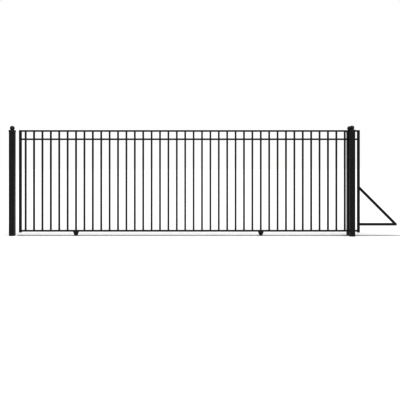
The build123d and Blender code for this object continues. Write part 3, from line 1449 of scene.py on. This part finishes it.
@dataclass
class AxleFixings(SubAssembly):
    """The axle bolts with their locking nuts, and the rings that hold the bearings."""

    body: str = "leaf"
    flats: float = 17 * MM
    head_height: float = 6.4 * MM
    washer: float = 0.5 * MM
    washer_share: float = 0.47
    washer_sides: int = 40
    head_stand: float = 0.4 * MM
    shank: float = 5 * MM
    shank_sides: int = 32
    threads: int = 6
    thread_pitch: float = 1.5 * MM
    thread_root: float = 0.86
    shank_tip: float = 0.84
    nut_hex: float = 4.5 * MM
    nut_collar: float = 7 * MM
    nut_lap: float = MM
    nut_round: float = 0.45
    nut_crown: float = 0.9
    nut_dish: Pair = (0.9 * MM, 0.5 * MM)
    ring_front: float = 7.2 * MM
    ring_thick: float = 1.1 * MM
    ring_inner: float = 12.9 * MM
    ring_outer: float = 14.9 * MM
    ring_gap: float = math.radians(34)
    ring_steps: int = 44
    eye: float = 1.7 * MM
    eye_sides: int = 20
    eye_rim: float = 0.9 * MM
    eye_share: float = 0.7

    def build(self) -> None:
        """Make one bolt and one nut and copy them to the other wheel, and ring both wheels."""
        here = centre("left_wheel")
        step = centre("right_wheel") - here
        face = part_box("wheel_cheeks")[0].y
        bolt = self.bolt(here, face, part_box("axle_bolts")[1].y)
        nut = self.nut(here, *(corner.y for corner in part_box("axle_nuts")))
        for name, part, node in (
            ("chamfered_axle_bolts", bolt, "axle_bolts"),
            ("locking_axle_nuts", nut, "axle_nuts"),
        ):
            parts = [part, copy_to(part, step)]
            self.hand_over(name, parts, CRISP, FIXING_BLACK, "black_fixing", replaces=(node,))
        for hand, shift in (("left", Vector()), ("right", step)):
            name, body = f"{hand}_bearing_ring", f"{hand}_wheel"
            parts = self.ring(here + shift)
            self.hand_over(name, parts, SPRUNG, FIXING_BLACK, "black_fixing", body=body)

    def bolt(self, here: Vector, face: float, end: float) -> Piece:
        """Make an axle bolt with a washer face and a chamfered, ridged end.

        Args:
            here: the wheel's middle.
            face: where the front cheek's outer face lies.
            end: where the shank ends at the rear.

        Returns:
            The bolt.
        """
        seat = Vector((here.x, face, here.z))
        front, rear = Facing.FRONT, Facing.REAR
        stand = front.outward * self.head_stand
        head = Hexagon(self.flats, self.head_height).head(seat + stand, front)
        width = self.flats * self.washer_share
        washer = [(self.washer, 1.0)]
        collar = turned("collar", seat, *front.value, width, self.washer_sides, washer)
        plain = end - face - (self.threads + 1) * self.thread_pitch
        half = self.thread_pitch / 2
        thread = [(half, self.thread_root), (half, 1 / self.thread_root)]
        steps = [(plain, 1.0)] + thread * self.threads + [(half, 1.0), (half, self.shank_tip)]
        shank = turned("shank", seat, *rear.value, self.shank, self.shank_sides, steps)
        return join("bolt", [head, collar, shank])

    def nut(self, here: Vector, face: float, end: float) -> Piece:
        """Make a locking nut: a hexagon with a round collar that holds its insert.

        Args:
            here: the wheel's middle.
            face: where the nut sits.
            end: where it ends at the rear.

        Returns:
            The nut.
        """
        seat = Vector((here.x, face, here.z))
        rear = Facing.REAR
        head = Hexagon(self.flats, self.nut_hex).head(seat, rear)
        seat = seat + rear.outward * (self.nut_hex - self.nut_lap)
        rest = end - face - self.nut_hex
        steps = [
            (self.nut_lap + rest * (1 - self.nut_round), 1.0),
            (rest * self.nut_round, self.nut_crown),
        ]
        width, sides = self.nut_collar, self.washer_sides
        collar = turned("collar", seat, *rear.value, width, sides, steps, self.nut_dish)
        return join("nut", [head, collar])

    def ring(self, here: Vector) -> list[Piece]:
        """Spin the open spring ring in front of a bearing, and give it its two eyes.

        Args:
            here: the wheel's middle.

        Returns:
            The ring and its eyes.
        """
        front, thick = here.y - self.ring_front, self.ring_thick
        inner, outer = self.ring_inner, self.ring_outer
        middle = Vector((here.x + (inner + outer) / 2, front - thick / 2, here.z))
        clear_bench()
        bpy.ops.mesh.primitive_plane_add(size=1, location=middle)
        ring = take_up("ring")
        with editing(ring):
            section = (outer - inner, thick, 1)
            bpy.ops.transform.resize(value=section, center_override=middle)
            sweep = 2 * math.pi - self.ring_gap
            bpy.ops.mesh.spin(steps=self.ring_steps, angle=sweep, center=here, axis=(0, 1, 0))
            bpy.ops.mesh.select_mode(type="VERT")
            bpy.ops.mesh.select_all(action="SELECT")
            bpy.ops.mesh.remove_doubles(threshold=DOUBLED)
            bpy.ops.mesh.fill_holes(sides=4)
            bpy.ops.mesh.normals_make_consistent(inside=False)
        parts = [ring]
        dish = (self.eye_rim, thick * self.eye_share)
        for turn in (0.0, self.ring_gap):
            x, z = here.x + inner * math.cos(turn), here.z + inner * math.sin(turn)
            seat, way = Vector((x, front, z)), Facing.FRONT.value
            steps = [(thick, 1.0)]
            parts.append(turned("eye", seat, *way, self.eye, self.eye_sides, steps, dish))
        return parts


@dataclass
class TrackFixings(SubAssembly):
    """The track's stitch welds, and the anchors that hold it down."""

    body: str = "posts_and_track"
    bar: float = 3 * MM
    inset: float = 60 * MM
    offset: float = 21 * MM
    rows: int = 3
    flange: float = 6.6 * MM
    flange_sides: int = 32
    flange_steps: tuple[Pair, ...] = ((0.8 * MM, 1.0), (0.5 * MM, 0.86))
    anchor_shank: float = 4 * MM
    shank_share: float = 0.98
    head_flats: float = 10 * MM
    head_height: float = 4 * MM
    head_stand: float = 1.1 * MM
    foot: float = 11.1 * MM
    bead: Bead = Bead(1.3 * MM, 4 * MM, 6)
    stitch: float = 40 * MM
    stitch_gap: float = 260 * MM

    def build(self) -> None:
        """Make one anchor and copy it to each hole, and repeat one pair of stitches."""
        sections = [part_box(f"track_section_{i}") for i in (1, 2, 3)]
        places = []
        for low, high in sections:
            reach = (high.x - low.x - 2 * self.inset) / (self.rows - 1)
            for i in range(self.rows):
                for side in (-self.offset, self.offset):
                    places.append(Vector((low.x + self.inset + i * reach, side, self.bar)))
        first = self.anchor(places[0])
        anchors = [first] + [copy_to(first, place - places[0]) for place in places[1:]]
        self.hand_over("track_anchors", anchors, CRISP, FIXING_ZINC, "zinc_fixing")
        pitch = self.stitch + self.stitch_gap
        start = sections[0][0].x + self.stitch_gap / 2
        beads = []
        for side in (-self.foot, self.foot):
            near = Vector((start, side, self.bar))
            beads.append(self.bead.lay(near, Vector((start + self.stitch, side, self.bar))))
        welds = join("track_stitch_welds", beads)
        count = int((sections[-1][1].x - start) / pitch)
        repeat(welds, count, Vector((pitch, 0, 0)))
        self.hand_over("track_stitch_welds", [welds], RIPPLED, TRACK_ZINC, "galvanised_track")

    def anchor(self, place: Vector) -> Piece:
        """Make a flanged screw anchor with its shank in the hole.

        Args:
            place: the middle of the hole's upper rim.

        Returns:
            The anchor.
        """
        way, steps = Facing.UP.value, list(self.flange_steps)
        flange = turned("flange", place, *way, self.flange, self.flange_sides, steps)
        with editing(flange):
            select(flange, Part.FACES, lambda p: abs(p.z - place.z) < HAIR)
            bpy.ops.mesh.inset(thickness=self.flange - self.anchor_shank)
            push(flange, UP * -self.bar * self.shank_share)
            turn_outwards()
        seat = place + UP * self.head_stand
        head = Hexagon(self.head_flats, self.head_height).head(seat, Facing.UP)
        return join("anchor", [flange, head])


@dataclass
class Guides(SubAssembly):
    """The nylon guide blocks with their sunk screws, and the welds of their plates."""

    body: str = "posts_and_track"
    lead_in: float = 8 * MM
    lead_steps: int = 8
    soft: float = 0.6 * MM
    soft_angle: float = 50.0
    screw_spacing: float = 30 * MM
    bore: float = 4.6 * MM
    bore_sides: int = 32
    bore_depth: float = 5 * MM
    screw: float = 3.9 * MM
    screw_sides: int = 24
    screw_steps: tuple[Pair, ...] = ((3 * MM, 1.0), (0.5 * MM, 0.88))
    key: float = 2.2 * MM
    key_floor: float = 1.6 * MM
    key_reach: float = 4 * MM
    plate_bead: Bead = Bead(2.6 * MM)
    plate_short: float = 10 * MM

    def build(self) -> None:
        """Make each side's block and screws, and weld both plates."""
        screws = []
        for side, facing in (("front", Facing.REAR), ("rear", Facing.FRONT)):
            node = f"{side}_guide_block"
            low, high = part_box(node)
            middle = (low + high) / 2
            face = high.y if side == "front" else low.y
            spots = [
                Vector((middle.x + shift * self.screw_spacing / 2, face, middle.z))
                for shift in (-1, 1)
            ]
            piece = self.guide_block(low, high, facing, spots)
            name = f"{side}_bored_guide_block"
            self.hand_over(name, [piece], CRISP, NYLON, "nylon", replaces=(node,))
            screws += [self.sunk_screw(spot, facing) for spot in spots]
        self.hand_over("guide_block_screws", screws, CRISP, FIXING_ZINC, "zinc_fixing")
        beads = []
        for side in ("front", "rear"):
            low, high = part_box(f"{side}_guide_plate")
            back = low.y if side == "front" else high.y
            for z in (low.z, high.z):
                near = Vector((low.x + self.plate_short, back, z))
                far = Vector((high.x - self.plate_short, back, z))
                beads.append(self.plate_bead.lay(near, far))
        self.hand_over("guide_plate_welds", beads, RIPPLED, WELD_COAT, "black_coat")

    def guide_block(
        self, low: Vector, high: Vector, facing: Facing, spots: list[Vector]
    ) -> Piece:
        """Shape a block, with rounded lead-ins and two bores.

        Args:
            low: the block's lowest corner.
            high: its highest corner.
            facing: the side that its rubbing face looks to.
            spots: the middles of its bores on that face.

        Returns:
            The block.
        """
        piece = block("guide_block", low, high)
        face = spots[0]
        with editing(piece):
            select(piece, Part.EDGES, lambda p: max(abs(p.y - face.y), abs(p.z - face.z)) < HAIR)
            bpy.ops.mesh.bevel(offset=self.lead_in, segments=self.lead_steps, affect="EDGES")
        soften(piece, self.soft, self.soft_angle)
        steps = [(self.bore_depth + MM, 1.0)]
        for spot in spots:
            floor = spot - facing.outward * self.bore_depth
            tool = turned("bore", floor, *facing.value, self.bore, self.bore_sides, steps)
            carve(piece, tool, Cut.OUTSIDE)
        return piece

    def sunk_screw(self, spot: Vector, facing: Facing) -> Piece:
        """Make the socket screw at the bottom of a bore.

        Args:
            spot: the middle of the bore's mouth.
            facing: the side that the mouth looks to.

        Returns:
            The screw.
        """
        way, steps = facing.value, list(self.screw_steps)
        floor = spot - facing.outward * self.bore_depth
        screw = turned("screw", floor, *way, self.screw, self.screw_sides, steps)
        floor = floor + facing.outward * self.key_floor
        tool = turned("key", floor, *way, self.key, 6, [(self.key_reach, 1.0)])
        carve(screw, tool, Cut.OUTSIDE)
        return screw


@dataclass
class TubePlugs(SubAssembly):
    """The moulded plugs in the open ends of the uprights and the tail bar."""

    body: str = "leaf"
    flange: float = 3 * MM
    corner: float = 4 * MM
    corner_steps: int = 5
    edge: float = 1.2 * MM
    edge_steps: int = 3
    rim: float = 0.74
    sunk: float = 0.7 * MM
    sunk_share: float = 0.95

    def build(self) -> None:
        """Make a plug at each open end."""
        plugs = []
        low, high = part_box("upright_plugs")
        for upright in ("left_upright", "right_upright"):
            near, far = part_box(upright)
            for foot, head, out in (
                (low.z, low.z + self.flange, -UP),
                (high.z - self.flange, high.z, UP),
            ):
                start = Vector((near.x, near.y, foot))
                plugs.append(self.plug(start, Vector((far.x, far.y, head)), out))
        low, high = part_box("tail_bar_plug")
        start = Vector((high.x - self.flange, low.y, low.z))
        tail = self.plug(start, high, Vector((1, 0, 0)))
        for node, parts in (("upright_plugs", plugs), ("tail_bar_plug", [tail])):
            name = f"moulded_{node}"
            self.hand_over(name, parts, CRISP, PLUG_PLASTIC, "black_plastic", replaces=(node,))

    def across(self, out: Vector, share: float) -> Place:
        """Return the scale that shrinks a face to a share, but not along the way out."""
        x, y, z = (1.0 if abs(step) > 0.5 else share for step in out)
        return x, y, z

    def plug(self, low: Vector, high: Vector, out: Vector) -> Piece:
        """Make one plug's flange, with rounded corners, a soft edge and a sunk middle.

        Args:
            low: the flange's lowest corner.
            high: its highest corner.
            out: the way out of the tube.

        Returns:
            The plug.
        """
        piece = block("plug", low, high)
        middle = (low + high) / 2
        outer = self.flange / 2 - HAIR
        with editing(piece):
            select(piece, Part.EDGES, lambda p: abs((p - middle).dot(out)) < HAIR)
            bpy.ops.mesh.bevel(offset=self.corner, segments=self.corner_steps, affect="EDGES")
            select(piece, Part.FACES, lambda p: (p - middle).dot(out) > outer)
            bpy.ops.mesh.bevel(offset=self.edge, segments=self.edge_steps, affect="EDGES")
            select(piece, Part.FACES, lambda p: (p - middle).dot(out) > outer)
            push(piece, Vector(), self.across(out, self.rim))
            push(piece, out * -self.sunk, self.across(out, self.sunk_share))
            turn_outwards()
        return piece


@dataclass
class Steelwork(SubAssembly):
    """The CAD nodes that show as they are, each with its finish."""

    body: str = "posts_and_track"
    groove: Pair = (23.2 * MM, 31.2 * MM)
    seal: Pair = (9.4 * MM, 13.3 * MM)

    def build(self) -> None:
        """Dress every CAD node."""
        low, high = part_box("front_guide_block")
        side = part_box("middle_rail")[1].y
        rubbed = BlackCoat("guided_powder_coat", rubbed=(low.z, high.z, side))
        finishes: dict[str, Finish] = {"middle_rail": rubbed, "axle_sleeves": FIXING_ZINC}
        for i in (1, 2, 3):
            finishes[f"track_section_{i}"] = TRACK_ZINC
        for hand in ("left", "right"):
            axle = centre(f"{hand}_wheel")
            finishes[f"{hand}_wheel"] = OxideWheel(f"{hand}_oxide_wheel", axle, self.groove)
            finishes[f"{hand}_bearing"] = SealedBearing(f"{hand}_sealed_bearing", axle, self.seal)
        for name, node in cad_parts.items():
            finish = finishes.get(name, COAT)
            dress(node, finish)
            log.info("%s dressed in %s", name, finish.name)


# Studio


@dataclass
class Studio:
    """A plain pale floor, soft light and the camera at the photograph's place."""

    eye: Place = (3.347, -9.50, 1.247)
    lens: float = 47.7
    sensor: float = 36.0
    shift: Pair = (0.0025, -0.085)
    far: float = 1000.0
    sky_front: float = 1.1
    sky_rear: float = 0.42
    sky_reach: float = 0.9
    sun: float = 3.0
    sun_width: float = math.radians(80)
    sun_turn: Place = (math.radians(22), math.radians(8), 0.0)
    floor_size: float = 400.0
    floor_middle: Place = (3.0, 0.0, 0.0)
    contrast: float = 0.6

    def build(self) -> None:
        """Set up the floor, the light and the camera."""
        self.add_floor()
        self.add_light()
        self.add_camera()
        bpy.context.scene.view_settings.view_transform = "Standard"
        bpy.context.scene.view_settings.gamma = self.contrast

    def add_floor(self) -> None:
        """Lay a wide floor at ground level."""
        clear_bench()
        bpy.ops.mesh.primitive_plane_add(size=self.floor_size, location=self.floor_middle)
        floor = take_up("floor")
        with editing(floor):
            bpy.ops.mesh.subdivide(number_cuts=3)
        dress(floor, PaleFloor())

    def add_light(self) -> None:
        """Light the gate from a pale room and one very soft lamp high in front."""
        world = bpy.data.worlds.new("studio")
        bpy.context.scene.world = world
        world.use_nodes = True
        wiring = Wiring(world.node_tree)
        seen = wiring.add("LightPath").outputs["Is Camera Ray"]
        looking = wiring.add("TexCoord").outputs["Generated"]
        ends = {
            "Value": wiring.add("SeparateXYZ", {0: looking}).outputs["Y"],
            "From Min": -self.sky_reach,
            "From Max": self.sky_reach,
            "To Min": self.sky_front,
            "To Max": self.sky_rear,
        }
        room_light = wiring.add("MapRange", ends).outputs[0]
        strength = wiring.add("MapRange", {"Value": seen, "To Min": room_light}).outputs[0]
        room = wiring.add("Background", {"Color": (1, 1, 1, 1), "Strength": strength})
        wiring.add("OutputWorld", {"Surface": room.outputs[0]})
        lamp = bpy.data.lights.new("soft_lamp", "SUN")
        lamp.energy = self.sun
        lamp.angle = self.sun_width
        holder = bpy.data.objects.new("soft_lamp", lamp)
        holder.rotation_euler = self.sun_turn
        bpy.context.scene.collection.objects.link(holder)

    def add_camera(self) -> None:
        """Set the camera level in front of the gate, shifted as the photograph is framed."""
        camera = bpy.data.cameras.new("camera")
        camera.lens = self.lens
        camera.sensor_width = self.sensor
        camera.shift_x, camera.shift_y = self.shift
        camera.clip_end = self.far
        holder = bpy.data.objects.new("camera", camera)
        holder.location = self.eye
        holder.rotation_euler = (math.pi / 2, 0, 0)
        bpy.context.scene.collection.objects.link(holder)
        bpy.context.scene.camera = holder


def main() -> None:
    """Build the studio and every sub-assembly in order."""
    logging.basicConfig(level=logging.INFO, format="%(message)s")
    Studio().build()
    for assembly in (
        Steelwork(),
        PostCaps(),
        PicketRows(),
        FrameWelds(),
        AxleFixings(),
        TrackFixings(),
        Guides(),
        TubePlugs(),
    ):
        log.info("building %s", type(assembly).__name__)
        assembly.build()
    clear_bench()


if __name__ == "__main__":
    main()
